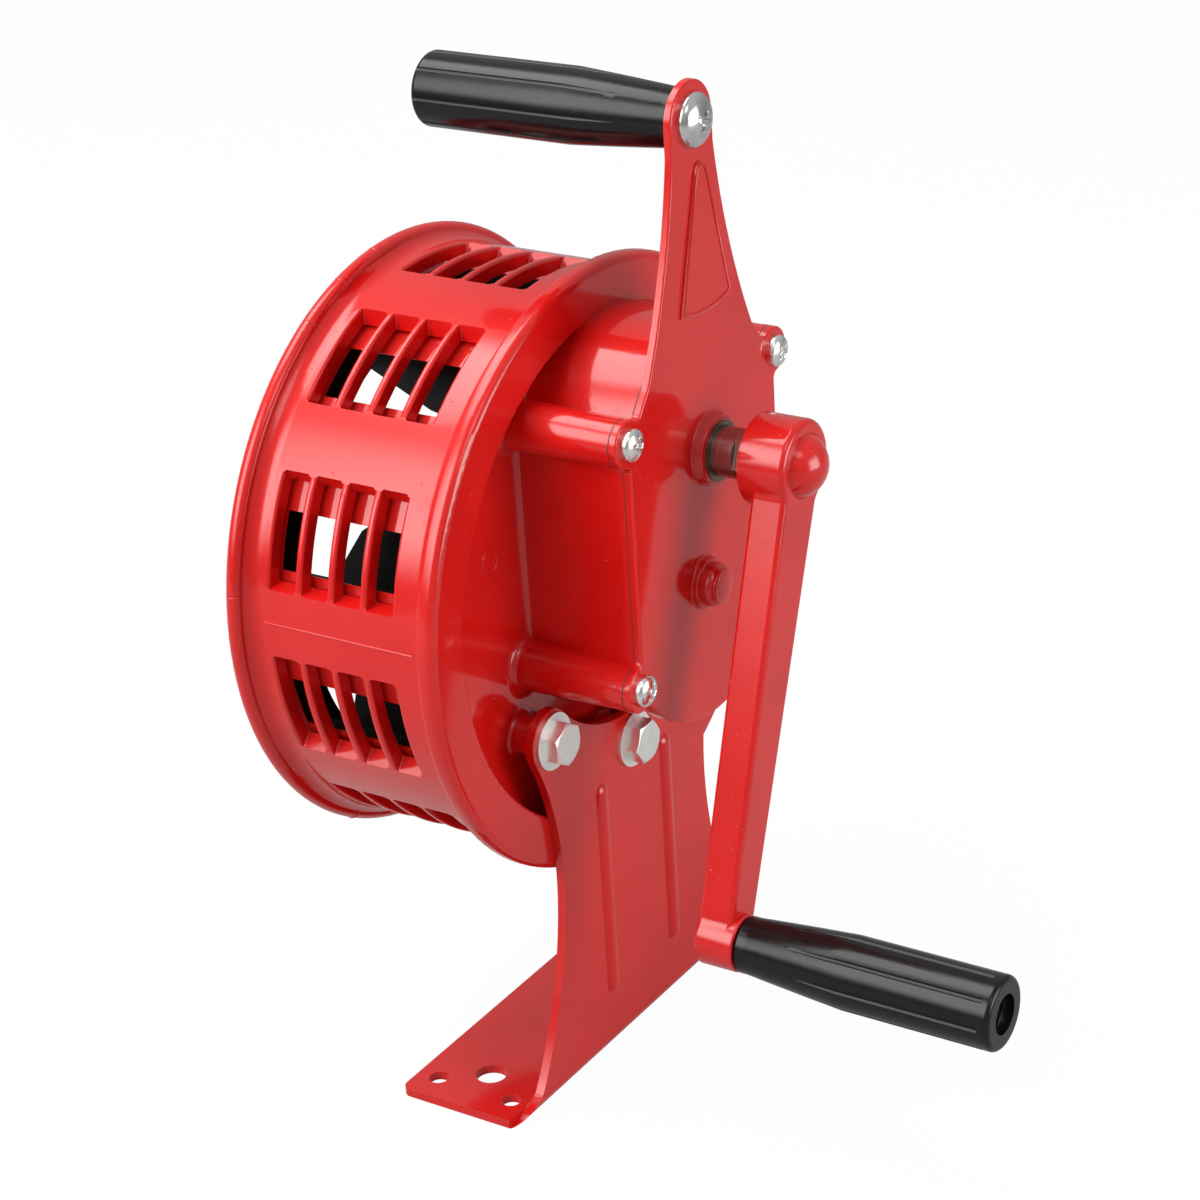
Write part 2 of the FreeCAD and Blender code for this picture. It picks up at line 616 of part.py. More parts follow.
# ---- crank ---------------------------------------------------------------------------
def armBlank(endZ):
    """Bar between two round ends, blended in outline and rounded along its edges."""
    bar = plate(armFrontY, armBackY, (crankX - 10.7, crankZ), (crankX - 7.4, endZ),
                (crankX + 7.4, endZ), (crankX + 10.7, crankZ))
    blank = fused(bar, rod(crankX, crankZ, armFrontY, armBackY, hubR),
                  rod(crankX, endZ, armFrontY, armBackY, armEndR))

    def isCorner(edge):
        """Inner corners between the bar and its round ends run along Y."""
        box = edge.BoundBox
        return box.XLength < 0.01 and box.ZLength < 0.01 and endZ + 1 < box.ZMin < crankZ - 1

    blank = rounded(blank, 5.0, isCorner)
    blank = rounded(blank, 2.0, lambda e: e.BoundBox.YMax < armFrontY + 0.01)
    return rounded(blank, 1.4, lambda e: e.BoundBox.YMin > armBackY - 0.01)


def crankArm():
    """Cast arm, made hanging straight down and then turned to its place."""
    endZ = crankZ - crankLength
    front = armFrontY - 1.8
    boss = turned(crankX, endZ, (0, armFrontY + 2.2), (armEndR, armFrontY + 2.2), (armEndR, front + 0.8),
                  ((armEndR - 0.24, front + 0.24), (armEndR - 0.8, front)), (0, front))
    body = fused(armBlank(endZ), rod(crankX, crankZ, armBackY - 3, hubBackY, hubR), boss)
    body = cut(body, flatBar(shaftEndY, hubBackY + 1),
               rod(crankX, crankZ, hubFrontY - 1, shaftEndY, capPlugR),
               rod(crankX, endZ, armFrontY - 3, armBackY - 1.5, spindleR))
    return turn(body, crankX, crankZ, -armTilt)


def crankCap():
    """Hollow domed cap pressed into the hub over the nut."""
    def at(r, degrees):
        a = math.radians(degrees)
        return (r * math.cos(a), capCentreY - r * math.sin(a))

    innerR, plugInnerR = capR - capThick, capPlugR - 1.1
    return turned(crankX, crankZ, (capPlugR, capLipY), (capPlugR, hubFrontY), at(capR, 24.0),
                  (at(capR, 57.0), at(capR, 90.0)), at(innerR, 90.0),
                  (at(innerR, 45.0), (plugInnerR, -86.9)), (plugInnerR, capLipY))


def gripBody(length, collar):
    """Grooved grip along +Y from its narrow end, on a line through the origin.

    The grooves stop a collar's width before the wide end, or run out at it where collar is 0.
    """
    shoulder = 0.42 * length
    body = turned(0, 0, (0, 0), (gripNarrowR - 0.6, 0), (gripNarrowR, 0.6), (gripNarrowR, 3.0),
                  ((10.9, 0.27 * length), (gripWideR, shoulder)), (gripWideR, length - endRound),
                  ((gripWideR - endRound * 0.29, length - endRound * 0.29), (gripWideR - endRound, length)),
                  (0, length))
    stop = length - collar if collar else length + 1
    centre = gripWideR - grooveDepth + grooveR
    back = 0.32 * length
    low = vec(centre - grooveSlope * back, shoulder - back, 0)
    run = Part.makeCylinder(grooveR, math.hypot(back, grooveSlope * back), low, vec(grooveSlope, 1, 0))
    bend = Part.makeSphere(grooveR, vec(centre, shoulder, 0))
    groove = fused(rod(centre, 0, shoulder, stop, grooveR), bend, run)
    return cut(body, *around(groove, grooveCount, 0, 0))


def crankGrip():
    body = gripBody(gripLength, 3.6)
    body = cut(body, rod(0, 0, -1, gripLength, spindleR + running * 2),
               rod(0, 0, gripLength - gripHoleDepth, gripLength + 1, gripHoleR))
    body.rotate(vec(0, 0, 0), vec(1, 0, 0), 180)
    x, z = gripPlace()
    body.translate(vec(x, gripFrontY, z))
    return body


def gripPlace():
    return polar(crankX, crankZ, crankLength, -90.0 - armTilt)


def topGrip():
    body = gripBody(topGripLength, 0)
    body = cut(body, rod(0, 0, -1, handleBoltEndY - coverBackY, spindleR))
    body.translate(vec(boxX, coverBackY, handleZ))
    return body


def gripSpindle():
    """Shoulder bolt: thread in the arm, plain shank in the grip, socket head in its recess."""
    x, z = gripPlace()
    seat = gripEndY + gripHoleDepth - endPlay - gripWasherThick
    head = rounded(rod(x, z, seat - 4.5, seat, 5.7), 0.8, lambda e: e.BoundBox.YMax < seat - 4.4)
    socket = hexagon(x, z, seat - 5.0, seat - 2.0, 5.0)
    return cut(fused(head, rod(x, z, seat, armBackY - 1.5, spindleR)), socket)


def gripWasher():
    """Washer under the spindle's head, with the end play left between it and the grip."""
    back = gripEndY + gripHoleDepth - endPlay
    return washer(*gripPlace(), back - gripWasherThick, back, 6.0, spindleR)


PARTS = {
    "siren_housing": housing,
    "gear_cover": cover,
    "cover_gasket": gasket,
    "cover_screws": lambda: Part.makeCompound([panScrew(x, z) for x, z in screwPlaces()]),
    "stand_bracket": stand,
    "stand_bolts": lambda: Part.makeCompound(
        [hexBolt(x, z, 17 * i) for i, (x, z) in enumerate(standBolts)]),
    "stand_washers": lambda: Part.makeCompound(
        [washer(x, z, standFrontY - washerThick, standFrontY, washerR, washerBoreR)
         for x, z in standBolts]),
    "handle_bolt": handleBolt,
    "top_grip": topGrip,
    "rotor": rotor,
    "rotor_shaft": rotorShaft,
    "rotor_key": lambda: key(rotorX, rotorZ, *rotorKey),
    "rotor_washer": lambda: washer(rotorX, rotorZ, hubRearY, hubRearY + washerThick, 8.5, boltR),
    "rotor_nut": lambda: nut(rotorX, rotorZ, hubRearY + washerThick, hubRearY + 8.1, boltFlats, boltR),
    "rotor_bearing": bearing,
    "rotor_bush": lambda: washer(rotorX, rotorZ, rotorBushFrontY, bossBackY, rotorBushR,
                                 rotorNoseR + running),
    "layshaft": layshaft,
    "layshaft_gear": layGear,
    "layshaft_key": lambda: key(layX, layZ, *layKey),
    "layshaft_bushes": lambda: Part.makeCompound(
        [washer(layX, layZ, layBushFrontY, bossBackY, layBushR, layNoseR + running),
         washer(layX, layZ, seatY, seatFloorY, layBushR, layNoseR + running)]),
    "crank_shaft": crankShaft,
    "crank_shaft_bush": lambda: washer(crankX, crankZ, crankBushFrontY, bossBackY, crankBushR,
                                       shaftR + running),
    "crank_inner_bush": lambda: washer(crankX, crankZ, seatY, seatFloorY, crankInnerBushR,
                                       crankNoseR + running),
    "crank_gear": crankGear,
    "crank_gear_key": lambda: key(crankX, crankZ, *crankKey),
    "crank_circlip": lambda: circlip(crankX, crankZ, -33.0, -31.9, 9.6, 6.9),
    "crank_arm": crankArm,
    "crank_nut": lambda: turn(nut(crankX, crankZ, -87.2, shaftEndY, boltFlats, boltR),
                              crankX, crankZ, 10),
    "crank_cap": crankCap,
    "grip_spindle": gripSpindle,
    "grip_washer": gripWasher,
    "crank_grip": crankGrip,
}

os.makedirs("parts", exist_ok=True)
for name, make in PARTS.items():
    make().exportStep("parts/" + name + ".step")
    print(name)
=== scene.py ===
import json
import math

import bmesh
import bpy
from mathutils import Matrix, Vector

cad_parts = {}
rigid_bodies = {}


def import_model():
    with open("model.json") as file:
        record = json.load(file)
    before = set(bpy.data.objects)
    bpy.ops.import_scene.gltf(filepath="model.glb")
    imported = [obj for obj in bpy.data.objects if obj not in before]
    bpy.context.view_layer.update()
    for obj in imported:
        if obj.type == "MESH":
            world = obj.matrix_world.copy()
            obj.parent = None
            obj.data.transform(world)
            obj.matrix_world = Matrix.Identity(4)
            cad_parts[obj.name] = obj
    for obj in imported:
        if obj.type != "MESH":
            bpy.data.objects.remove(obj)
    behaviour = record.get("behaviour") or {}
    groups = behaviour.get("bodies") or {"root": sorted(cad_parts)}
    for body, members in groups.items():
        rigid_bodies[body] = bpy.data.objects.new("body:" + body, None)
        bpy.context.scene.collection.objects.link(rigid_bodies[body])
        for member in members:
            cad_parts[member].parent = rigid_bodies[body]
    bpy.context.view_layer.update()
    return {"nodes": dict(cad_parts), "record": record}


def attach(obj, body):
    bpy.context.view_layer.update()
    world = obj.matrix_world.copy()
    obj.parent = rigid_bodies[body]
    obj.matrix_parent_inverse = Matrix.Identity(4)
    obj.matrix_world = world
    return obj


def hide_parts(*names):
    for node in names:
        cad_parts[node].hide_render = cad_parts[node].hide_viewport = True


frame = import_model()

nodes = frame["nodes"]
mm = 0.001
scene = bpy.context.scene
scene.view_settings.view_transform = "Standard"

# places that several pieces share, in millimetres
drum = {"x": 0.0, "z": 168.2, "floor": -11.3}
coverFront = -54.1
screwPlaces = ((-39.1, 229.2), (48.1, 229.2), (-39.1, 147.9), (48.1, 147.9))
standBoltPlaces = ((-46.0, 126.7), (46.0, 126.7), (0.0, 106.2))

# camera
cameraLook = {"place": (-0.7676, -0.5288, 0.5809), "turn": (65.163, 3.2046, -57.6427),
              "lens": 94.889, "sensor": 36.0, "near": 0.01}


def makeCamera():
    look = cameraLook
    data = bpy.data.cameras.new("camera")
    data.sensor_fit = "HORIZONTAL"
    data.sensor_width = look["sensor"]
    data.lens = look["lens"]
    data.clip_start = look["near"]
    obj = bpy.data.objects.new("camera", data)
    obj.location = look["place"]
    obj.rotation_euler = [math.radians(a) for a in look["turn"]]
    scene.collection.objects.link(obj)
    scene.camera = obj


# nodes shared by the materials and the geometry trees
def put(tree, socket, value):
    if isinstance(value, bpy.types.NodeSocket):
        tree.links.new(value, socket)
    else:
        socket.default_value = value


def calc(tree, operation, *values):
    node = tree.nodes.new("ShaderNodeMath")
    node.operation = operation
    for socket, value in zip(node.inputs, values):
        put(tree, socket, value)
    return node.outputs[0]


def newMaterial(name, colour, metallic=0.0, roughness=0.5):
    material = bpy.data.materials.new(name)
    material.use_nodes = True
    shader = material.node_tree.nodes["Principled BSDF"]
    shader.inputs["Base Color"].default_value = (*colour, 1.0)
    shader.inputs["Metallic"].default_value = metallic
    shader.inputs["Roughness"].default_value = roughness
    material.diffuse_color = (*colour, 1.0)
    return material, material.node_tree, shader


def noise(tree, scale, detail, stretch=(1.0, 1.0, 1.0)):
    place = tree.nodes.new("ShaderNodeTexCoord")
    mapping = tree.nodes.new("ShaderNodeMapping")
    mapping.inputs["Scale"].default_value = stretch
    texture = tree.nodes.new("ShaderNodeTexNoise")
    texture.inputs["Scale"].default_value = scale
    texture.inputs["Detail"].default_value = detail
    tree.links.new(place.outputs["Object"], mapping.inputs["Vector"])
    tree.links.new(mapping.outputs["Vector"], texture.inputs["Vector"])
    return texture.outputs["Fac"]


def between(tree, value, low, high, lowOut=0.0, highOut=1.0):
    node = tree.nodes.new("ShaderNodeMapRange")
    node.interpolation_type = "SMOOTHSTEP"
    for socket, number in zip(node.inputs, (value, low, high, lowOut, highOut)):
        put(tree, socket, number)
    return node.outputs["Result"]


def blendColours(tree, factor, first, second):
    node = tree.nodes.new("ShaderNodeMix")
    node.data_type = "RGBA"
    put(tree, node.inputs["Factor"], factor)
    for socket, colour in ((node.inputs["A"], first), (node.inputs["B"], second)):
        put(tree, socket, (*colour, 1.0))
    return node.outputs["Result"]


def tint(tree, shader, factor, first, second):
    put(tree, shader.inputs["Base Color"], blendColours(tree, factor, first, second))


def roughen(tree, shader, factor, band, limits):
    put(tree, shader.inputs["Roughness"], between(tree, factor, *band, *limits))


def bump(tree, shader, *layers):
    normal = None
    for height, depth in layers:
        node = tree.nodes.new("ShaderNodeBump")
        node.inputs["Distance"].default_value = depth * mm
        tree.links.new(height, node.inputs["Height"])
        if normal:
            tree.links.new(normal, node.inputs["Normal"])
        normal = node.outputs["Normal"]
    tree.links.new(normal, shader.inputs["Normal"])
    return normal


# floor, lamps and background, in metres and watts
stageLook = {"floorSize": 9.0, "floorPaper": 0.38, "floorSeen": 1.0, "seenGlow": 0.965,
             "mirroredGlow": 0.22, "ambient": 0.216, "mirrored": (0.304, 0.56), "mirroredRise": (-0.1, 0.75)}
lamps = (
    {"name": "lampLeft", "place": (-1.5, 0.66, 1.12), "size": 2.0, "power": 72.0, "soft": 0.36},
    {"name": "lampTop", "place": (-0.1, 0.6, 1.75), "size": 1.4, "power": 34.0, "soft": 0.26},
    {"name": "lampFront", "place": (0.27, -1.4, 0.22), "size": 1.3, "power": 33.0, "soft": 0.36},
    {"name": "lampCrown", "place": (-0.6, -1.1, 1.5), "size": 0.9, "power": 6.0, "soft": 0.36},
)
lampTarget = Vector((0.0, 0.0, 0.17))
white = (1.0, 1.0, 1.0, 1.0)


def softenLamp(data, margin):
    # the lamp fades out towards its edges, as a softbox does
    data.use_nodes = True
    tree = data.node_tree
    glow = tree.nodes["Emission"]
    place = tree.nodes.new("ShaderNodeNewGeometry")
    split = tree.nodes.new("ShaderNodeSeparateXYZ")
    tree.links.new(place.outputs["Parametric"], split.inputs[0])
    sides = []
    for side in (split.outputs["X"], split.outputs["Y"]):
        inward = calc(tree, "MINIMUM", side, calc(tree, "SUBTRACT", 1.0, side))
        sides.append(between(tree, inward, 0.0, margin))
    put(tree, glow.inputs["Strength"], calc(tree, "MULTIPLY", *sides))


def makeLamps():
    for lamp in lamps:
        data = bpy.data.lights.new(lamp["name"], "AREA")
        data.size = lamp["size"]
        data.energy = lamp["power"]
        softenLamp(data, lamp["soft"])
        obj = bpy.data.objects.new(lamp["name"], data)
        obj.location = lamp["place"]
        away = obj.location - lampTarget
        obj.rotation_euler = away.to_track_quat("Z", "Y").to_euler()
        scene.collection.objects.link(obj)


def rayKinds(tree):
    ray = tree.nodes.new("ShaderNodeLightPath")
    seen = calc(tree, "MAXIMUM", ray.outputs["Is Camera Ray"], ray.outputs["Is Transmission Ray"])
    return seen, ray.outputs["Is Glossy Ray"]


def makeWorld():
    world = bpy.data.worlds.new("studio")
    scene.world = world
    world.use_nodes = True
    tree = world.node_tree
    tree.nodes.clear()
    seen, glossy = rayKinds(tree)
    place = tree.nodes.new("ShaderNodeTexCoord")
    split = tree.nodes.new("ShaderNodeSeparateXYZ")
    tree.links.new(place.outputs["Generated"], split.inputs[0])
    mirrored = between(tree, split.outputs["Z"], *stageLook["mirroredRise"], *stageLook["mirrored"])
    other = calc(tree, "SUBTRACT", 1.0, calc(tree, "MAXIMUM", seen, glossy))
    ambient = calc(tree, "MULTIPLY", other, stageLook["ambient"])
    reflected = calc(tree, "MULTIPLY", glossy, mirrored)
    strength = calc(tree, "ADD", seen, calc(tree, "ADD", reflected, ambient))
    background = tree.nodes.new("ShaderNodeBackground")
    background.inputs["Color"].default_value = white
    tree.links.new(strength, background.inputs["Strength"])
    output = tree.nodes.new("ShaderNodeOutputWorld")
    tree.links.new(background.outputs[0], output.inputs[0])


def makeFloor():
    look = stageLook
    half = look["floorSize"] / 2
    mesh = bpy.data.meshes.new("floor")
    corners = [(-half, -half, 0), (half, -half, 0), (half, half, 0), (-half, half, 0)]
    mesh.from_pydata(corners, [], [(0, 1, 2, 3)])
    material = bpy.data.materials.new("floor")
    material.use_nodes = True
    tree = material.node_tree
    tree.nodes.clear()
    paper = tree.nodes.new("ShaderNodeBsdfDiffuse")
    glow = tree.nodes.new("ShaderNodeEmission")
    seen, glossy = rayKinds(tree)
    greys = [(look[key],) * 3 for key in ("floorPaper", "floorSeen")]
    put(tree, paper.inputs["Color"], blendColours(tree, seen, *greys))
    mirrored = calc(tree, "MULTIPLY", glossy, look["mirroredGlow"])
    share = calc(tree, "MAXIMUM", mirrored, calc(tree, "MULTIPLY", seen, look["seenGlow"]))
    mix = tree.nodes.new("ShaderNodeMixShader")
    tree.links.new(share, mix.inputs[0])
    tree.links.new(paper.outputs[0], mix.inputs[1])
    tree.links.new(glow.outputs[0], mix.inputs[2])
    output = tree.nodes.new("ShaderNodeOutputMaterial")
    tree.links.new(mix.outputs[0], output.inputs[0])
    mesh.materials.append(material)
    obj = bpy.data.objects.new("floor", mesh)
    scene.collection.objects.link(obj)


# finishes: a noise is its scale, detail and stretch, a band is where it fades, and depths are in millimetres
roughBand = (0.3, 0.7)
enamelLook = {"red": (0.74, 0.009, 0.007), "deep": (0.67, 0.006, 0.004), "roughness": 0.4, "specular": 0.1,
              "coat": 1.0, "coatRoughness": 0.09, "patches": (22.0, 2.0), "patchBand": (0.35, 0.7),
              "peel": (420.0, 2.0), "peelDepth": 0.01, "wave": (70.0, 1.0), "waveDepth": 0.035,
              "specks": (900.0, 0.0), "speckBand": (0.78, 0.84), "speckDepth": 0.05}
plateLook = {"bright": (0.88, 0.88, 0.86), "dull": (0.78, 0.79, 0.77), "roughness": (0.14, 0.24),
             "patches": (420.0, 4.0), "patchBand": (0.35, 0.7), "grain": (300.0, 3.0),
             "scratches": (700.0, 3.0, (1.0, 1.0, 0.15)), "scratchDepth": 0.003}
boltLook = {**plateLook, "bright": (0.97, 0.97, 0.94), "dull": (0.9, 0.91, 0.88), "roughness": (0.34, 0.42)}
chromeLook = {**plateLook, "bright": (0.7, 0.7, 0.69), "dull": (0.6, 0.6, 0.6), "roughness": (0.1, 0.2)}
shaftLook = {"bright": (0.4, 0.35, 0.33), "dark": (0.27, 0.23, 0.21), "roughness": (0.2, 0.3),
             "rings": (160.0, 2.0, (0.15, 6.0, 0.15)), "ringDepth": 0.002}
steelLook = {**shaftLook, "bright": (0.55, 0.55, 0.56), "dark": (0.36, 0.36, 0.37), "roughness": (0.2, 0.36)}
# the grey of the plastic's streaks is a painted highlight: lines of light along the grips' flutes
plasticLook = {"black": (0.006, 0.006, 0.0065), "highlightGrey": (0.012, 0.012, 0.014), "roughness": (0.15, 0.2),
               "specular": 0.3, "highlightStreaks": (120.0, 3.0, (1.0, 0.2, 1.0)), "highlightStreakBand": (0.55, 0.8),
               "grain": (500.0, 3.0), "wave": (60.0, 1.0), "waveDepth": 0.03}
rotorLook = {"red": (0.6, 0.008, 0.006), "black": (0.006, 0.005, 0.005), "roughness": (0.7, 0.4),
             "specular": 0.06, "coatRoughness": 0.06, "edge": 88.3, "fade": 0.15, "ragged": 0.3,
             "edgeNoise": (300.0, 2.0), "grain": (500.0, 2.0), "grainDepth": 0.02}
sealerLook = {"mean": (0.035, 0.02, 0.018), "dark": (0.02, 0.015, 0.014), "light": (0.06, 0.03, 0.027),
              "roughness": 0.6, "patches": (300.0, 2.0), "grain": (800.0, 2.0), "grainDepth": 0.05}
bronzeLook = {"mean": (0.2, 0.15, 0.11), "dark": (0.1, 0.08, 0.065), "light": (0.27, 0.21, 0.16),
              "roughness": 0.35, "grain": (900.0, 3.0), "grainDepth": 0.02}


def enamel():
    look = enamelLook
    material, tree, shader = newMaterial("redEnamel", look["red"], roughness=look["roughness"])
    shader.inputs["Specular IOR Level"].default_value = look["specular"]
    shader.inputs["Coat Weight"].default_value = look["coat"]
    shader.inputs["Coat Roughness"].default_value = look["coatRoughness"]
    patches = between(tree, noise(tree, *look["patches"]), *look["patchBand"])
    tint(tree, shader, patches, look["red"], look["deep"])
    specks = between(tree, noise(tree, *look["specks"]), *look["speckBand"])
    layers = [(noise(tree, *look[key]), look[key + "Depth"]) for key in ("peel", "wave")]
    normal = bump(tree, shader, *layers, (specks, look["speckDepth"]))
    tree.links.new(normal, shader.inputs["Coat Normal"])
    return material


def plating(name, look):
    material, tree, shader = newMaterial(name, look["bright"], 1.0)
    patches = between(tree, noise(tree, *look["patches"]), *look["patchBand"])
    tint(tree, shader, patches, look["bright"], look["dull"])
    roughen(tree, shader, noise(tree, *look["grain"]), roughBand, look["roughness"])
    bump(tree, shader, (noise(tree, *look["scratches"]), look["scratchDepth"]))
    return material


def turnedSteel(name, look):
    material, tree, shader = newMaterial(name, look["bright"], 1.0)
    rings = noise(tree, *look["rings"])     # the marks of the lathe lie across Y
    tint(tree, shader, rings, look["dark"], look["bright"])
    roughen(tree, shader, rings, roughBand, look["roughness"])
    bump(tree, shader, (rings, look["ringDepth"]))
    return material


def plastic():
    look = plasticLook
    material, tree, shader = newMaterial("blackPlastic", look["black"])
    # grey streaks along the grip's length are painted highlight lines, tinted into the black
    highlightStreaks = between(tree, noise(tree, *look["highlightStreaks"]), *look["highlightStreakBand"])
    tint(tree, shader, highlightStreaks, look["black"], look["highlightGrey"])
    roughen(tree, shader, noise(tree, *look["grain"]), roughBand, look["roughness"])
    bump(tree, shader, (noise(tree, *look["wave"]), look["waveDepth"]))
    shader.inputs["Specular IOR Level"].default_value = look["specular"]
    return material


def rotorPaint():
    # red on the rim, black on all that lies inside it
    look = rotorLook
    material, tree, shader = newMaterial("rotorPaint", look["red"])
    place = tree.nodes.new("ShaderNodeTexCoord")
    split = tree.nodes.new("ShaderNodeSeparateXYZ")
    tree.links.new(place.outputs["Object"], split.inputs[0])
    x = calc(tree, "SUBTRACT", split.outputs["X"], drum["x"] * mm)
    z = calc(tree, "SUBTRACT", split.outputs["Z"], drum["z"] * mm)
    squares = [calc(tree, "MULTIPLY", side, side) for side in (x, z)]
    radius = calc(tree, "SQRT", calc(tree, "ADD", *squares))
    ragged = calc(tree, "MULTIPLY", noise(tree, *look["edgeNoise"]), look["ragged"] * mm)
    edge = (look["edge"] * mm, (look["edge"] + look["fade"]) * mm)
    outside = between(tree, calc(tree, "ADD", radius, ragged), *edge)
    tint(tree, shader, outside, look["black"], look["red"])
    roughen(tree, shader, outside, (0.0, 1.0), look["roughness"])
    shader.inputs["Specular IOR Level"].default_value = look["specular"]
    put(tree, shader.inputs["Coat Weight"], outside)
    shader.inputs["Coat Roughness"].default_value = look["coatRoughness"]
    bump(tree, shader, (noise(tree, *look["grain"]), look["grainDepth"]))
    return material


def sealer():
    look = sealerLook
    material, tree, shader = newMaterial("darkSealer", look["mean"], roughness=look["roughness"])
    tint(tree, shader, noise(tree, *look["patches"]), look["dark"], look["light"])
    bump(tree, shader, (noise(tree, *look["grain"]), look["grainDepth"]))
    return material


def bronze():
    look = bronzeLook
    material, tree, shader = newMaterial("bronze", look["mean"], 1.0, look["roughness"])
    grain = noise(tree, *look["grain"])
    tint(tree, shader, grain, look["dark"], look["light"])
    bump(tree, shader, (grain, look["grainDepth"]))
    return material


# meshes: edges stay sharp past these angles, in degrees
sharpness = {"welded": 30.0, "head": 28.0, "root": 50.0, "bead": 60.0}
flatWeight = 100


def meshFrom(name, bm):
    mesh = bpy.data.meshes.new(name)
    bm.to_mesh(mesh)
    bm.free()
    return mesh


def finishObject(name, mesh, material, kind):
    mesh.materials.clear()
    mesh.materials.append(material)
    mesh.shade_smooth()
    mesh.set_sharp_from_angle(angle=math.radians(sharpness[kind]))
    obj = bpy.data.objects.new(name, mesh)
    scene.collection.objects.link(obj)
    return obj


def evenNormals(obj):
    modifier = obj.modifiers.new("evenNormals", "WEIGHTED_NORMAL")     # large flat faces keep their shading
    modifier.weight = flatWeight
    modifier.keep_sharp = True


def bodyOf(node):
    bodies = frame["record"]["behaviour"]["bodies"]
    return next(body for body, names in bodies.items() if node in names)


def register(obj, body, slot, *replaced):
    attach(obj, body)
    if replaced:
        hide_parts(*replaced)
    print("piece", obj.name)


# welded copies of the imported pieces, with rounded edges: lengths in millimetres, angles in degrees
weldLook = {"merge": 0.002, "flat": 0.4, "bevelFrom": 50.0, "segments": 2}
edgeRounds = {"drumCasting": 0.45, "standSheet": 0.4, "standBolts": 0.25, "crankArm": 0.3, "crankShaft": 0.3}
windowLook = {"round": 0.95, "segments": 3, "wallR": 94.5, "slack": 0.06, "front": -2.0, "rear": 45.0,
              "first": 158.5, "pitch": 36.0, "reach": 11.0, "level": 0.01, "fold": 40.0}


def windowTurn(x, z):
    # how far a point lies from the middle of the nearest window, in degrees about the drum's axis
    turn = math.degrees(math.atan2(z - drum["z"], x - drum["x"]))
    half = windowLook["pitch"] / 2
    return abs((turn - windowLook["first"] + half) % windowLook["pitch"] - half)


def markWindowEdges(bm):
    # only the long edges of a window's bars are rounded, and its corners are left
    layer = bm.edges.layers.float.new("bevel_weight_edge")
    look = windowLook
    for edge in bm.edges:
        ends = [[c / mm for c in v.co] for v in edge.verts]
        onWall = all(abs(math.hypot(x - drum["x"], z - drum["z"]) - look["wallR"]) < look["slack"]
                     for x, y, z in ends)
        inside = all(look["front"] < y < look["rear"] for x, y, z in ends)
        level = abs(ends[0][1] - ends[1][1]) < look["level"]
        clear = max(windowTurn(x, z) for x, y, z in ends) < look["reach"]
        if onWall and inside and level and clear and edge.calc_face_angle(0.0) > math.radians(look["fold"]):
            edge[layer] = 1.0


def softenEdges(obj, width, method="ANGLE", segments=weldLook["segments"]):
    modifier = obj.modifiers.new("softEdges", "BEVEL")
    modifier.width = width * mm
    modifier.segments = segments
    modifier.limit_method = method
    modifier.angle_limit = math.radians(weldLook["bevelFrom"])
    modifier.use_clamp_overlap = method == "ANGLE"
    modifier.loop_slide = method == "ANGLE"
    modifier.harden_normals = False


def welded(node, name, material, slot):
    isDrum, isRounded = name == "drumCasting", name in edgeRounds
    mesh = nodes[node].data.copy()
    bm = bmesh.new()
    bm.from_mesh(mesh)
    bmesh.ops.remove_doubles(bm, verts=bm.verts, dist=weldLook["merge"] * mm)
    if isRounded:
        angle = math.radians(weldLook["flat"])
        bmesh.ops.dissolve_limit(bm, angle_limit=angle, verts=bm.verts, edges=bm.edges)
    if isDrum:
        markWindowEdges(bm)
    bm.to_mesh(mesh)
    bm.free()
    if "custom_normal" in mesh.attributes:
        mesh.attributes.remove(mesh.attributes["custom_normal"])
    obj = finishObject(name, mesh, material, "welded")
    if isDrum:
        softenEdges(obj, windowLook["round"], "WEIGHT", windowLook["segments"])
    if isRounded:
        softenEdges(obj, edgeRounds[name])
    evenNormals(obj)
    register(obj, bodyOf(node), slot, node)


# turned and lofted meshes, from profiles in millimetres
onAxis = 1e-6


def lathe(profile, segments, x, z):
    bm = bmesh.new()
    turns = [2 * math.pi * i / segments for i in range(segments)]
    rows = []
    for r, y in profile:
        circle = [(x, y, z)] if r < onAxis else [(x + r * math.cos(a), y, z + r * math.sin(a)) for a in turns]
        rows.append([bm.verts.new([c * mm for c in point]) for point in circle])
    for first, second in zip(rows, rows[1:]):
        for i in range(segments):
            j = (i + 1) % segments
            corners = [first[i % len(first)], first[j % len(first)],
                       second[j % len(second)], second[i % len(second)]]
            face = list(dict.fromkeys(corners))
            if len(face) > 2:
                bm.faces.new(face)
    bmesh.ops.recalc_face_normals(bm, faces=bm.faces)
    return bm


def loft(rows, closed=True):
    bm = bmesh.new()
    rings = [[bm.verts.new([c * mm for c in point]) for point in row] for row in rows]
    following = rings[1:] + rings[:1] if closed else rings[1:]
    for first, second in zip(rings, following):
        for i in range(len(first)):
            j = (i + 1) % len(first)
            bm.faces.new((first[i], first[j], second[j], second[i]))
    bmesh.ops.recalc_face_normals(bm, faces=bm.faces)
    return bm


def joined(name, parts):
    whole = bmesh.new()
    for bm in parts:
        part = meshFrom("part", bm)
        whole.from_mesh(part)
        bpy.data.meshes.remove(part)
    bmesh.ops.remove_doubles(whole, verts=whole.verts, dist=rootLook["merge"] * mm)
    bmesh.ops.recalc_face_normals(whole, faces=whole.faces)
    return meshFrom(name, whole)


# geometry trees
def newTree(name, **sockets):
    tree = bpy.data.node_groups.new(name, "GeometryNodeTree")
    tree.interface.new_socket("Geometry", in_out="INPUT", socket_type="NodeSocketGeometry")
    for label, kind in sockets.items():
        tree.interface.new_socket(label, in_out="INPUT", socket_type="NodeSocket" + kind)
    tree.interface.new_socket("Geometry", in_out="OUTPUT", socket_type="NodeSocketGeometry")
    return tree, tree.nodes.new("NodeGroupInput").outputs


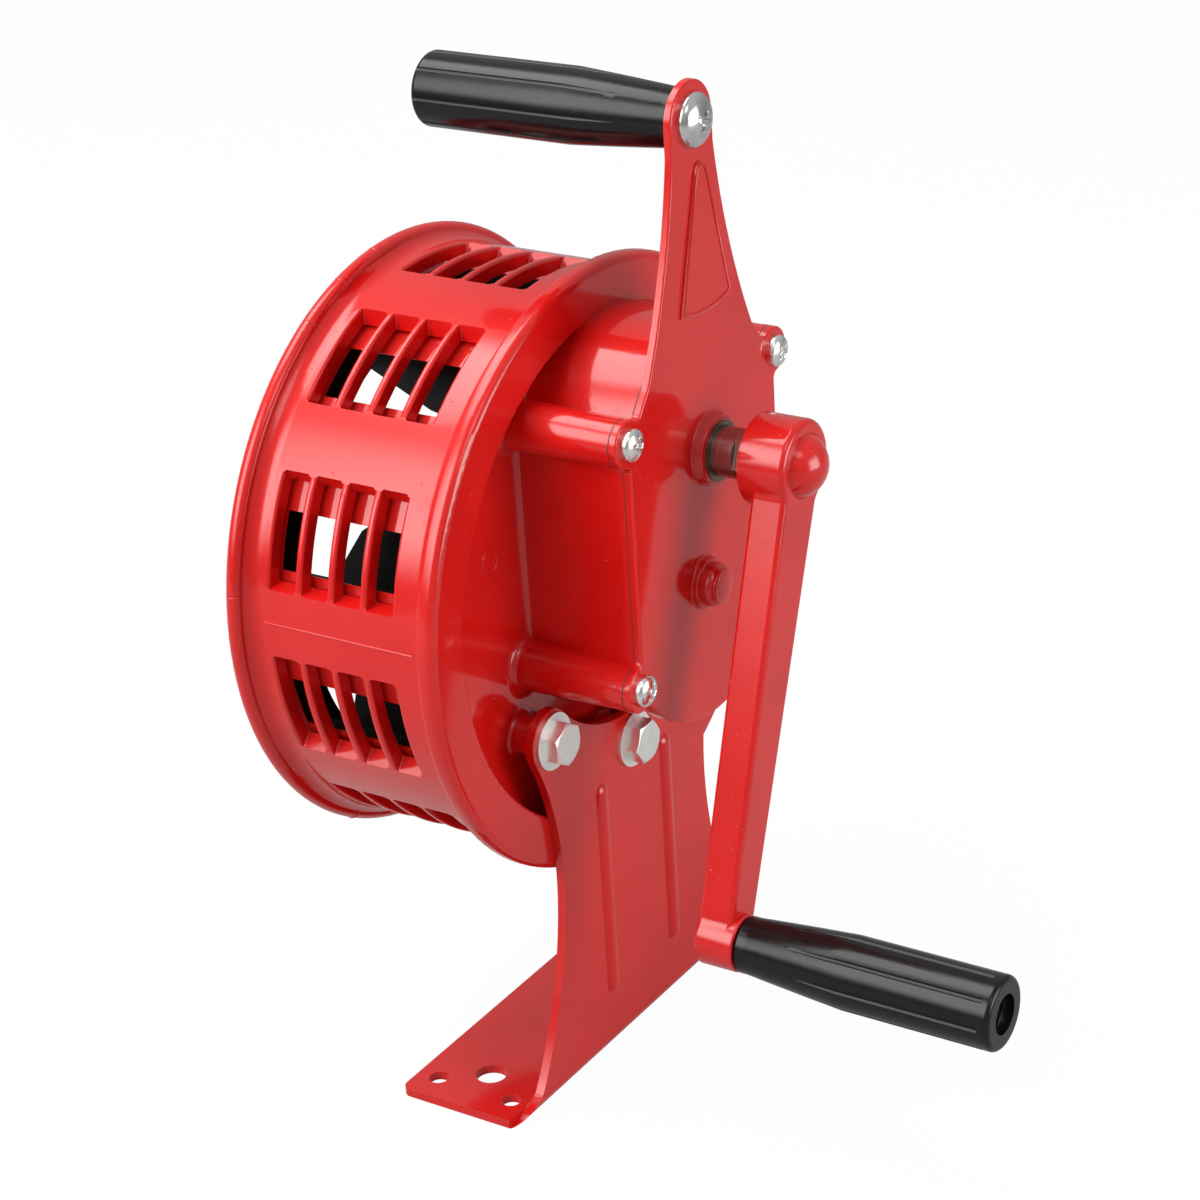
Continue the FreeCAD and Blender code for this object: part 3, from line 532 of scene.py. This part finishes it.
def step(tree, kind, **inputs):
    node = tree.nodes.new(kind)
    for label, value in inputs.items():
        put(tree, node.inputs[label.replace("_", " ")], value)
    return node


def endTree(tree, geometry, finish):
    realized = step(tree, "GeometryNodeRealizeInstances", Geometry=geometry)
    painted = step(tree, "GeometryNodeSetMaterial", Geometry=realized.outputs[0], Material=finish)
    output = tree.nodes.new("NodeGroupOutput")
    tree.links.new(painted.outputs[0], output.inputs[0])
    return tree


def grown(name, source, tree, **values):
    obj = bpy.data.objects.new(name + "Source", source)
    scene.collection.objects.link(obj)
    modifier = obj.modifiers.new("grow", "NODES")
    modifier.node_group = tree
    for item in tree.interface.items_tree:
        if item.name in values:
            modifier[item.identifier] = values[item.name]
    ready = obj.evaluated_get(bpy.context.evaluated_depsgraph_get())
    mesh = bpy.data.meshes.new_from_object(ready)
    bpy.data.objects.remove(obj)
    mesh.name = name
    return mesh


def repeatTree():
    # copies of one mesh on the points of another, each turned about its own Y axis
    tree, given = newTree("repeat", Places="Object", Finish="Material")
    places = step(tree, "GeometryNodeObjectInfo", Object=given["Places"])
    spin = tree.nodes.new("GeometryNodeInputNamedAttribute")
    spin.data_type = "FLOAT"
    spin.inputs["Name"].default_value = "spin"
    turns = step(tree, "ShaderNodeCombineXYZ", Y=spin.outputs["Attribute"])
    copies = step(tree, "GeometryNodeInstanceOnPoints", Points=places.outputs["Geometry"],
                  Instance=given["Geometry"], Rotation=turns.outputs[0])
    return endTree(tree, copies.outputs[0], given["Finish"])


beadSides = 8


def beadTree():
    # a round bead along the edges of a mesh
    tree, given = newTree("bead", Radius="Float", Finish="Material")
    line = step(tree, "GeometryNodeMeshToCurve", Mesh=given["Geometry"])
    ring = step(tree, "GeometryNodeCurvePrimitiveCircle", Resolution=beadSides, Radius=given["Radius"])
    tube = step(tree, "GeometryNodeCurveToMesh", Curve=line.outputs[0], Profile_Curve=ring.outputs[0],
                Fill_Caps=True)
    return endTree(tree, tube.outputs[0], given["Finish"])


nibShape = {"small": 0.12, "large": 0.38, "flat": 0.45, "subdivisions": 2}


def nibTree():
    # small flat drops strewn over the faces of a mesh
    tree, given = newTree("nibs", Density="Float", Small="Float", Large="Float", Seed="Int",
                          Finish="Material")
    strewn = step(tree, "GeometryNodeDistributePointsOnFaces", Mesh=given["Geometry"],
                  Density=given["Density"], Seed=given["Seed"])
    ball = step(tree, "GeometryNodeMeshIcoSphere", Radius=1.0, Subdivisions=nibShape["subdivisions"])
    flat = step(tree, "GeometryNodeTransform", Geometry=ball.outputs["Mesh"],
                Scale=(1.0, 1.0, nibShape["flat"]))
    size = tree.nodes.new("FunctionNodeRandomValue")
    size.data_type = "FLOAT"
    floats = [socket for socket in size.inputs if socket.type == "VALUE"]
    put(tree, floats[0], given["Small"])
    put(tree, floats[1], given["Large"])
    put(tree, size.inputs["Seed"], given["Seed"])
    sized = next(socket for socket in size.outputs if socket.type == "VALUE")
    drops = step(tree, "GeometryNodeInstanceOnPoints", Points=strewn.outputs["Points"],
                 Instance=flat.outputs[0], Rotation=strewn.outputs["Rotation"], Scale=sized)
    return endTree(tree, drops.outputs[0], given["Finish"])


def placesObject(name, points):
    # points (x, y, z, spin) in millimetres and degrees, as an object for the repeat tree
    mesh = bpy.data.meshes.new(name)
    mesh.from_pydata([[c * mm for c in point[:3]] for point in points], [], [])
    spin = mesh.attributes.new("spin", "FLOAT", "POINT")
    spin.data.foreach_set("value", [math.radians(point[3]) for point in points])
    return bpy.data.objects.new(name, mesh)


def lineMesh(lines):
    mesh = bpy.data.meshes.new("lines")
    points, edges = [], []
    for line in lines:
        start = len(points)
        points += [[c * mm for c in point] for point in line]
        edges += [(start + i, start + i + 1) for i in range(len(line) - 1)]
        if line[0] == line[-1]:
            points.pop()
            edges[-1] = (start + len(line) - 2, start)
    mesh.from_pydata(points, edges, [])
    return mesh


def addBead(name, lines, radius, slot, tree, finish):
    mesh = grown(name, lineMesh(lines), tree, Radius=radius * mm, Finish=finish)
    register(finishObject(name, mesh, finish, "bead"), "frame", slot)


# domed heads with a cross recess; a slope is the share of its arm or half width that its side takes
screwLook = {"radius": 5.1, "high": 3.6, "side": 1.4, "shank": 2.5, "length": 18.9, "arm": 2.75, "half": 0.72,
             "deep": 1.5, "armSlope": 0.5, "halfSlope": 0.3, "rows": 26, "turns": 96,
             "places": screwPlaces, "spins": (14.0, 50.0, 28.0, 70.0)}
handleBoltLook = {"radius": 8.5, "high": 4.9, "side": 0.9, "shank": 4.0, "length": 59.1, "arm": 3.7,
                  "half": 1.0, "deep": 2.4, "armSlope": 0.5, "halfSlope": 0.3, "rows": 34, "turns": 112,
                  "places": ((4.5, 316.5),), "spins": (25.0,)}


def crossHead(look):
    outer, low = look["radius"], look["high"] - look["side"]
    armRun, halfRun = look["armSlope"] * look["arm"], look["halfSlope"] * look["half"]

    def face(r, a):
        y = -look["high"] + low * (1 - math.sqrt(max(0.0, 1 - (r / outer) ** 2)))
        u, v = abs(r * math.cos(a)), abs(r * math.sin(a))
        arms = [min((look["arm"] - s) / armRun, (look["half"] - t) / halfRun) for s, t in ((u, v), (v, u))]
        return y + look["deep"] * min(1.0, max(0.0, *arms))

    turns = [2 * math.pi * i / look["turns"] for i in range(look["turns"])]
    radii = [outer * math.sin(math.pi / 2 * k / look["rows"]) for k in range(1, look["rows"] + 1)]
    rows = [[(r * math.cos(a), face(r, a), r * math.sin(a)) for a in turns] for r in radii]
    for r, y in ((outer, 0.0), (look["shank"], 0.0), (look["shank"], look["length"])):
        rows.append([(r * math.cos(a), y, r * math.sin(a)) for a in turns])
    bm = loft(rows, closed=False)
    bm.verts.ensure_lookup_table()
    count = look["turns"]
    for ring, y in ((bm.verts[:count], face(0.0, 0.0)), (bm.verts[-count:], look["length"])):
        pole = bm.verts.new((0.0, y * mm, 0.0))
        for i in range(count):
            bm.faces.new((ring[i], ring[(i + 1) % count], pole))
    bmesh.ops.recalc_face_normals(bm, faces=bm.faces)
    return meshFrom("head", bm)


def makeHeads(name, look, tree, finish, node):
    points = [(x, coverFront, z, spin) for (x, z), spin in zip(look["places"], look["spins"])]
    places = placesObject(name + "Places", points)
    mesh = grown(name, crossHead(look), tree, Places=places, Finish=finish)
    bpy.data.objects.remove(places)
    register(finishObject(name, mesh, finish, "head"), "frame", "zinc", node)


# fillets where the gearbox and the bosses grow out of the recessed floor
rootLook = {"round": 2.8, "steps": 8, "sink": 0.8, "inset": 1.5, "half": 43.3, "middle": 4.5,
            "arch": (44.0, 211.2), "sump": (50.0, 171.6), "sideSteps": 12, "bendSteps": 48, "merge": 0.001}
bossRoots = {"round": 3.2, "steps": 6, "sink": 0.8, "radius": 8.3, "turns": 64, "places": screwPlaces}
standRoots = {"round": 2.2, "steps": 6, "sink": 0.8, "radius": 6.2, "turns": 64, "places": standBoltPlaces}


def gearboxOutline(out):
    look = rootLook
    rise, bend = look["sideSteps"], look["bendSteps"]

    def bendTurns(start):
        return [start + (math.pi - 2 * start) * i / bend for i in range(bend)]

    half = look["half"] - look["inset"] + out
    (archR, archZ), (sumpR, sumpZ) = look["arch"], look["sump"]
    archR, sumpR = archR - look["inset"] + out, sumpR - look["inset"] + out
    archTurn, sumpTurn = math.acos(half / archR), math.acos(half / sumpR)
    top, low = archZ + archR * math.sin(archTurn), sumpZ - sumpR * math.sin(sumpTurn)
    points = [(half, low + (top - low) * i / rise) for i in range(rise)]
    points += [(archR * math.cos(a), archZ + archR * math.sin(a)) for a in bendTurns(archTurn)]
    points += [(-half, top + (low - top) * i / rise) for i in range(rise)]
    points += [(-sumpR * math.cos(a), sumpZ - sumpR * math.sin(a)) for a in bendTurns(sumpTurn)]
    return [(look["middle"] + x, z) for x, z in points]


def rootProfile(look):
    # distance out of the wall and height above the floor, round one closed section
    r, sink = look["round"], look["sink"]
    turns = [math.pi / 2 * i / look["steps"] for i in range(look["steps"] + 1)]
    curve = [(r - r * math.cos(a), r - r * math.sin(a)) for a in turns]
    return [*curve, (r, -sink), (-sink, -sink), (-sink, r)]


def makeRoots(finish):
    rows = [[(x, drum["floor"] - up, z) for x, z in gearboxOutline(out)] for out, up in rootProfile(rootLook)]
    parts = [loft(rows)]
    for look in (bossRoots, standRoots):
        curve = [(look["radius"] + out, drum["floor"] - up) for out, up in rootProfile(look)]
        parts += [lathe(curve + curve[:1], look["turns"], x, z) for x, z in look["places"]]
    mesh = joined("castingRoots", parts)
    register(finishObject("castingRoots", mesh, finish, "root"), "frame", "red_casting")


# rounded button over the blind bearing of the rotor
buttonLook = {"radius": 7.1, "round": 3.8, "front": -61.6, "back": -56.1, "foot": 0.5,
              "steps": 8, "turns": 64}


def bearingButton(finish):
    look = buttonLook
    r, edge, foot = look["radius"], look["round"], look["foot"]
    turns = [math.pi / 2 * i / look["steps"] for i in range(look["steps"] + 1)]
    flat = r - edge
    profile = [(0.0, look["front"]), (flat / 2, look["front"])]
    profile += [(flat + edge * math.sin(a), look["front"] + edge * (1 - math.cos(a))) for a in turns]
    profile += [(r + foot * (1 - math.cos(a)), look["back"] - foot * (1 - math.sin(a))) for a in turns[1:]]
    profile += [(r, look["back"] + foot), (0.0, look["back"] + foot)]
    mesh = meshFrom("bearingButton", lathe(profile, look["turns"], drum["x"], drum["z"]))
    register(finishObject("bearingButton", mesh, finish, "root"), "frame", "red_sheet")


# casting marks: parting lines, ridges over the rear rim and the ring left by an ejector pin
markLook = {"parting": (176.5, 356.5), "wallR": 94.45, "levels": (-9.0, 20.0, 46.6),
            "ridges": (97.0, 108.0, 119.0, 172.0, 239.0, 301.0, 8.0), "lineR": 0.38,
            "ejector": (-55.0, 189.0, 4.0), "ejectorR": 0.34, "ejectorHalfSteps": 20}
rimBead = {"r": 97.25, "y": 55.5, "line": 2.62, "from": -95.0, "to": 25.0, "steps": 12}


def castingMarks(tree, finish):
    def at(r, y, degrees):
        a = math.radians(degrees)
        return (drum["x"] + r * math.cos(a), y, drum["z"] + r * math.sin(a))

    bead, steps = rimBead, rimBead["steps"]
    lines = [[at(markLook["wallR"], y, a) for y in markLook["levels"]] for a in markLook["parting"]]
    bend = [math.radians(bead["from"] + (bead["to"] - bead["from"]) * i / steps) for i in range(steps + 1)]
    rim = [(bead["r"] + bead["line"] * math.cos(b), bead["y"] + bead["line"] * math.sin(b)) for b in bend]
    lines += [[at(r, y, a) for r, y in rim] for a in markLook["ridges"]]
    addBead("castingMarks", lines, markLook["lineR"], "red_casting", tree, finish)
    x, z, r = markLook["ejector"]
    half = markLook["ejectorHalfSteps"]
    turns = [math.pi * i / half for i in range(2 * half)]
    ring = [(x + r * math.cos(a), drum["floor"], z + r * math.sin(a)) for a in turns]
    addBead("ejectorRing", [ring + ring[:1]], markLook["ejectorR"], "red_casting", tree, finish)


# bead along the border of the raised panel
panelLook = {"front": -54.85, "bead": 0.55,
             "border": ((-6.4, 258.6), (4.3, 298.9), (5.4, 301.3), (7.3, 302.2), (9.2, 301.3), (10.3, 298.9),
                        (21.0, 258.8), (14.5, 257.2), (7.4, 256.7), (0.2, 257.2), (-6.4, 258.6))}


def panelBead(tree, finish):
    line = [(x, panelLook["front"], z) for x, z in panelLook["border"]]
    addBead("panelBead", [line], panelLook["bead"], "red_sheet", tree, finish)


# drops in the paint
nibLook = (
    {"name": "drumNibs", "on": "drumCasting", "node": "siren_housing", "slot": "red_casting",
     "density": 2600.0, "seed": 7},
    {"name": "coverNibs", "on": "gearCover", "node": "gear_cover", "slot": "red_sheet",
     "density": 700.0, "seed": 3},
    {"name": "standNibs", "on": "standSheet", "node": "stand_bracket", "slot": "red_sheet",
     "density": 600.0, "seed": 5},
    {"name": "armNibs", "on": "crankArm", "node": "crank_arm", "slot": "red_casting",
     "density": 3000.0, "seed": 11},
)
bedLook = {"wallR": 94.4, "wallSlack": 0.4, "wallY": (-8.0, 46.0), "recessR": 82.0, "recessY": -11.6,
           "sideY": (-48.0, -14.0), "sideTilt": 0.1, "frontTilt": -0.98, "armTilt": -0.9}


def nibBed(piece, source):
    # the faces that drops may lie on: the drum's wall, the recess, the gearbox sides, and flat fronts
    look = bedLook
    (wallFrom, wallTo), (sideFrom, sideTo) = look["wallY"], look["sideY"]
    bm = bmesh.new()
    bm.from_mesh(source)
    spare = []
    for face in bm.faces:
        x, y, z = (c / mm for c in face.calc_center_median())
        r = math.hypot(x - drum["x"], z - drum["z"])
        front = face.normal.y < look["frontTilt"]
        wall = abs(r - look["wallR"]) < look["wallSlack"] and wallFrom < y < wallTo
        recess = front and y > look["recessY"] and r < look["recessR"]
        side = abs(face.normal.y) < look["sideTilt"] and sideFrom < y < sideTo and r < look["recessR"]
        if piece == "drumCasting":
            kept = wall or recess or side
        elif piece == "crankArm":
            kept = face.normal.x < look["armTilt"] or front
        else:
            kept = front
        if not kept:
            spare.append(face)
    bmesh.ops.delete(bm, geom=spare, context="FACES")
    return meshFrom("bed", bm)


def makeNibs(look, tree, finish):
    bed = nibBed(look["on"], bpy.data.objects[look["on"]].data)
    mesh = grown(look["name"], bed, tree, Density=look["density"], Small=nibShape["small"] * mm,
                 Large=nibShape["large"] * mm, Seed=look["seed"], Finish=finish)
    register(finishObject(look["name"], mesh, finish, "bead"), bodyOf(look["node"]), look["slot"])


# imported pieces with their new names, finishes and slots
weldedPieces = (
    ("siren_housing", "drumCasting", "redEnamel", "red_casting"),
    ("gear_cover", "gearCover", "redEnamel", "red_sheet"),
    ("cover_gasket", "coverSeal", "darkSealer", "gasket"),
    ("stand_bracket", "standSheet", "redEnamel", "red_sheet"),
    ("stand_bolts", "standBolts", "boltPlate", "zinc"),
    ("stand_washers", "standWashers", "boltPlate", "zinc"),
    ("top_grip", "carryingGrip", "blackPlastic", "black_plastic"),
    ("rotor", "rotorCasting", "rotorPaint", "rotor_casting"),
    ("crank_shaft", "crankShaft", "turnedShaft", "shaft_steel"),
    ("crank_shaft_bush", "crankBush", "bronze", "bronze"),
    ("rotor_bush", "rotorBush", "bronze", "bronze"),
    ("crank_arm", "crankArm", "redEnamel", "red_casting"),
    ("crank_cap", "crankCap", "redEnamel", "red_sheet"),
    ("crank_grip", "crankGrip", "blackPlastic", "black_plastic"),
    ("grip_spindle", "gripSpindle", "zincPlate", "steel"),
    ("grip_washer", "gripWasher", "zincPlate", "zinc"),
    ("rotor_shaft", "rotorShaft", "turnedSteel", "steel"),
    ("rotor_nut", "rotorNut", "boltPlate", "zinc"),
    ("rotor_washer", "rotorWasher", "boltPlate", "zinc"),
    ("rotor_bearing", "rotorBearing", "turnedSteel", "steel"),
)

makeCamera()
makeLamps()
makeWorld()
makeFloor()
print("stage ready")

finishes = {
    "redEnamel": enamel(),
    "zincPlate": plating("zincPlate", plateLook),
    "boltPlate": plating("boltPlate", boltLook),
    "chrome": plating("chrome", chromeLook),
    "turnedShaft": turnedSteel("turnedShaft", shaftLook),
    "turnedSteel": turnedSteel("turnedSteel", steelLook),
    "blackPlastic": plastic(),
    "rotorPaint": rotorPaint(),
    "darkSealer": sealer(),
    "bronze": bronze(),
}
print("finishes ready")

for node, name, finish, slot in weldedPieces:
    welded(node, name, finishes[finish], slot)
repeat, bead, nibs = repeatTree(), beadTree(), nibTree()
makeHeads("coverScrews", screwLook, repeat, finishes["zincPlate"], "cover_screws")
makeHeads("handleBolt", handleBoltLook, repeat, finishes["chrome"], "handle_bolt")
makeRoots(finishes["redEnamel"])
castingMarks(bead, finishes["redEnamel"])
panelBead(bead, finishes["redEnamel"])
bearingButton(finishes["redEnamel"])
for look in nibLook:
    makeNibs(look, nibs, finishes["redEnamel"])
print("details ready")

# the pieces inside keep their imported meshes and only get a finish
slotFinish = {"steel": "turnedSteel", "bronze": "bronze", "zinc": "zincPlate"}
taken = {piece[0] for piece in weldedPieces} | {"cover_screws", "handle_bolt"}
for part in frame["record"]["subparts"]:
    if part["node"] not in taken:
        nodes[part["node"]].data.materials.clear()
        nodes[part["node"]].data.materials.append(finishes[slotFinish[part["material_slot"]]])
print("inner pieces finished")
